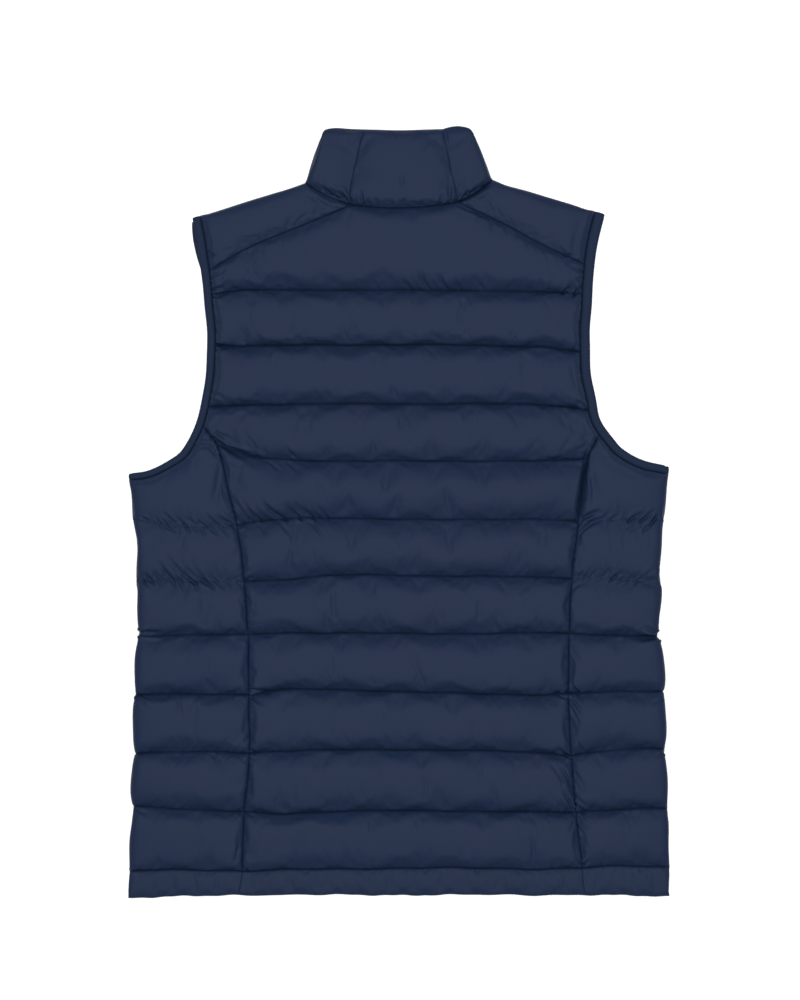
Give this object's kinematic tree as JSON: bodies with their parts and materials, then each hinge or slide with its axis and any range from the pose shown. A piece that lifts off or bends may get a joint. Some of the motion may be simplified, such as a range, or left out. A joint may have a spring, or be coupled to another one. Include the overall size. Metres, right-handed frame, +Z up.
{
  "type": "quilted vest",
  "caption": "Sleeveless quilted vest with a stand-up collar, bound armholes and a front zip, laid out flat on its front with the back up.",
  "frame": {"origin": "on the surface that the vest lies on, under the middle of its box", "axes": "+Y runs from the hem to the collar, +Z is up out of the back, and +X is the wearer's right, because the vest lies on its front"},
  "size_m": [0.542, 0.7716, 0.0198],
  "materials": {
    "shell": "satin woven nylon",
    "binding": "smooth matte tape",
    "zip_tape": "woven tape and nylon coil",
    "zip_metal": "dark satin"
  },
  "bodies": {
    "garment": {"back_panel": "shell", "side_panel_left": "shell", "side_panel_right": "shell", "shoulder_left": "shell", "shoulder_right": "shell", "front_left": "shell", "front_right": "shell", "collar_back": "shell", "collar_left": "shell", "collar_right": "shell", "hem_back": "shell", "hem_side_left": "shell", "hem_side_right": "shell", "hem_front_left": "shell", "hem_front_right": "shell", "armhole_binding_left": "binding", "armhole_binding_right": "binding", "zip_tape_left": "zip_tape", "zip_tape_right": "zip_tape", "zip_teeth": "zip_tape", "zip_slider": "zip_metal"},
    "zip_pull": {"zip_pull": "zip_metal"}
  },
  "joints": [
    {"name": "pull_swing", "type": "hinge", "parent": "garment", "child": "zip_pull", "pos_m": [0, 0.3155, 0.00205], "axis": [1, 0, 0], "range_deg": [0, 150]}
  ]
}
